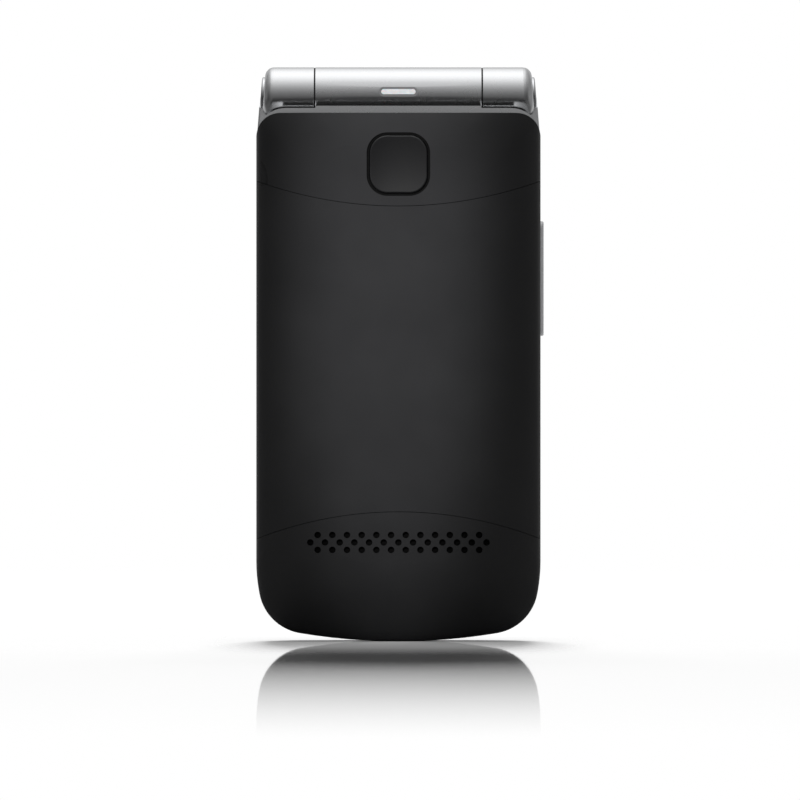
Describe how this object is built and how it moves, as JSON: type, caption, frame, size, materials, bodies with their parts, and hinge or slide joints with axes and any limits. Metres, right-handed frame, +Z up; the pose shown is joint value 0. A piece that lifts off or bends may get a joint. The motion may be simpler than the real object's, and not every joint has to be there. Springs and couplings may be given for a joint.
{
  "type": "flip phone",
  "caption": "Closed flip phone: silver bands and hinge barrel, matt black back and lid, speaker grille, emergency key, volume rocker, battery cover, and a keypad and displays inside.",
  "frame": {"origin": "centre of the footprint, at the foot of the closed phone stood on end", "axes": "+Z up from the foot to the hinge, +Y from the back to the closed lid, +X across, towards the volume rocker"},
  "size_m": [0.0526, 0.019, 0.1052],
  "materials": {
    "silver_plastic": "satin silver paint on plastic",
    "black_plastic": "matt, fine texture",
    "dark_key_plastic": "matt, slightly glossy dish",
    "polished_cap": "polished",
    "lens_plastic": "milky, glossy",
    "key_plastic": "satin with printed numerals",
    "fascia_plastic": "satin",
    "soft_rubber": "matt",
    "pressed_steel": "plain pressed metal",
    "dome_steel": "bright",
    "circuit_board": "green solder mask",
    "black_component": "moulded",
    "battery_wrap": "plain wrapper",
    "speaker_cloth": "fine mesh",
    "contact_brass": "plated contact",
    "clear_window": "clear, glossy",
    "tinted_window": "dark tint, glossy",
    "display_panel": "dark display behind glass",
    "hinge_steel": "turned",
    "amber_film": "amber film"
  },
  "bodies": {
    "base": {"base_frame": "silver_plastic", "rear_housing": "black_plastic", "battery": "battery_wrap", "battery_connector": "black_component", "card_holders": "pressed_steel", "loudspeaker": "black_component", "speaker_mesh": "speaker_cloth", "main_board": "circuit_board", "shield_cans": "pressed_steel", "dome_sheet": "dome_steel", "key_mat": "soft_rubber", "usb_socket": "pressed_steel", "microphone": "black_component", "vibration_motor": "pressed_steel", "hall_sensor": "black_component", "antenna": "contact_brass", "sos_switch": "pressed_steel", "side_switches": "black_component", "base_screws": "hinge_steel", "keypad_fascia": "fascia_plastic", "indicator_lens": "lens_plastic", "hinge_shaft": "hinge_steel", "hinge_flex": "amber_film"},
    "lid": {"lid_frame": "silver_plastic", "lid_cover": "black_plastic", "lid_inner_panel": "fascia_plastic", "main_window": "clear_window", "main_display": "display_panel", "lid_board": "circuit_board", "outer_display": "display_panel", "outer_window": "tinted_window", "camera_ring": "polished_cap", "camera_module": "black_component", "earpiece": "black_component", "lid_magnet": "pressed_steel", "bumpers": "soft_rubber", "lid_screws": "hinge_steel", "hinge_caps": "polished_cap", "hinge_cam_unit": "hinge_steel", "hinge_pin": "hinge_steel"},
    "cover": {"battery_cover": "black_plastic"},
    "key_1_body": {"key_1": "key_plastic"},
    "key_2_body": {"key_2": "key_plastic"},
    "key_3_body": {"key_3": "key_plastic"},
    "key_4_body": {"key_4": "key_plastic"},
    "key_5_body": {"key_5": "key_plastic"},
    "key_6_body": {"key_6": "key_plastic"},
    "key_7_body": {"key_7": "key_plastic"},
    "key_8_body": {"key_8": "key_plastic"},
    "key_9_body": {"key_9": "key_plastic"},
    "key_star_body": {"key_star": "key_plastic"},
    "key_0_body": {"key_0": "key_plastic"},
    "key_hash_body": {"key_hash": "key_plastic"},
    "call_key_body": {"call_key": "key_plastic"},
    "end_key_body": {"end_key": "key_plastic"},
    "left_soft_key_body": {"left_soft_key": "key_plastic"},
    "right_soft_key_body": {"right_soft_key": "key_plastic"},
    "nav_body": {"nav_rocker": "key_plastic"},
    "sos_body": {"sos_key": "dark_key_plastic"},
    "volume_body": {"volume_rocker": "silver_plastic"}
  },
  "joints": [
    {"name": "lid_hinge", "type": "hinge", "parent": "base", "child": "lid", "pos_m": [0, 0.00185, 0.1006], "axis": [1, 0, 0], "range_deg": [0, 160]},
    {"name": "cover_off", "type": "slide", "parent": "base", "child": "cover", "axis": [0, -1, 0], "range_m": [0, 0.02]},
    {"name": "key_1_press", "type": "slide", "parent": "base", "child": "key_1_body", "axis": [0, -1, 0], "range_m": [0, 0.0003], "stiffness_N_per_m": 300},
    {"name": "key_2_press", "type": "slide", "parent": "base", "child": "key_2_body", "axis": [0, -1, 0], "range_m": [0, 0.0003], "stiffness_N_per_m": 300},
    {"name": "key_3_press", "type": "slide", "parent": "base", "child": "key_3_body", "axis": [0, -1, 0], "range_m": [0, 0.0003], "stiffness_N_per_m": 300},
    {"name": "key_4_press", "type": "slide", "parent": "base", "child": "key_4_body", "axis": [0, -1, 0], "range_m": [0, 0.0003], "stiffness_N_per_m": 300},
    {"name": "key_5_press", "type": "slide", "parent": "base", "child": "key_5_body", "axis": [0, -1, 0], "range_m": [0, 0.0003], "stiffness_N_per_m": 300},
    {"name": "key_6_press", "type": "slide", "parent": "base", "child": "key_6_body", "axis": [0, -1, 0], "range_m": [0, 0.0003], "stiffness_N_per_m": 300},
    {"name": "key_7_press", "type": "slide", "parent": "base", "child": "key_7_body", "axis": [0, -1, 0], "range_m": [0, 0.0003], "stiffness_N_per_m": 300},
    {"name": "key_8_press", "type": "slide", "parent": "base", "child": "key_8_body", "axis": [0, -1, 0], "range_m": [0, 0.0003], "stiffness_N_per_m": 300},
    {"name": "key_9_press", "type": "slide", "parent": "base", "child": "key_9_body", "axis": [0, -1, 0], "range_m": [0, 0.0003], "stiffness_N_per_m": 300},
    {"name": "key_star_press", "type": "slide", "parent": "base", "child": "key_star_body", "axis": [0, -1, 0], "range_m": [0, 0.0003], "stiffness_N_per_m": 300},
    {"name": "key_0_press", "type": "slide", "parent": "base", "child": "key_0_body", "axis": [0, -1, 0], "range_m": [0, 0.0003], "stiffness_N_per_m": 300},
    {"name": "key_hash_press", "type": "slide", "parent": "base", "child": "key_hash_body", "axis": [0, -1, 0], "range_m": [0, 0.0003], "stiffness_N_per_m": 300},
    {"name": "call_key_press", "type": "slide", "parent": "base", "child": "call_key_body", "axis": [0, -1, 0], "range_m": [0, 0.0003], "stiffness_N_per_m": 300},
    {"name": "end_key_press", "type": "slide", "parent": "base", "child": "end_key_body", "axis": [0, -1, 0], "range_m": [0, 0.0003], "stiffness_N_per_m": 300},
    {"name": "left_soft_key_press", "type": "slide", "parent": "base", "child": "left_soft_key_body", "axis": [0, -1, 0], "range_m": [0, 0.0003], "stiffness_N_per_m": 300},
    {"name": "right_soft_key_press", "type": "slide", "parent": "base", "child": "right_soft_key_body", "axis": [0, -1, 0], "range_m": [0, 0.0003], "stiffness_N_per_m": 300},
    {"name": "nav_tilt", "type": "hinge", "parent": "base", "child": "nav_body", "pos_m": [0, -0.00022, 0.07555], "axis": [1, 0, 0], "range_deg": [-1.2, 1.2], "stiffness_Nm_per_rad": 0.05},
    {"name": "sos_press", "type": "slide", "parent": "base", "child": "sos_body", "axis": [0, 1, 0], "range_m": [0, 0.0004], "stiffness_N_per_m": 300},
    {"name": "volume_tilt", "type": "hinge", "parent": "base", "child": "volume_body", "pos_m": [0.02415, -0.0016, 0.0664], "axis": [0, 1, 0], "range_deg": [-1.2, 1.2], "stiffness_Nm_per_rad": 0.05}
  ]
}
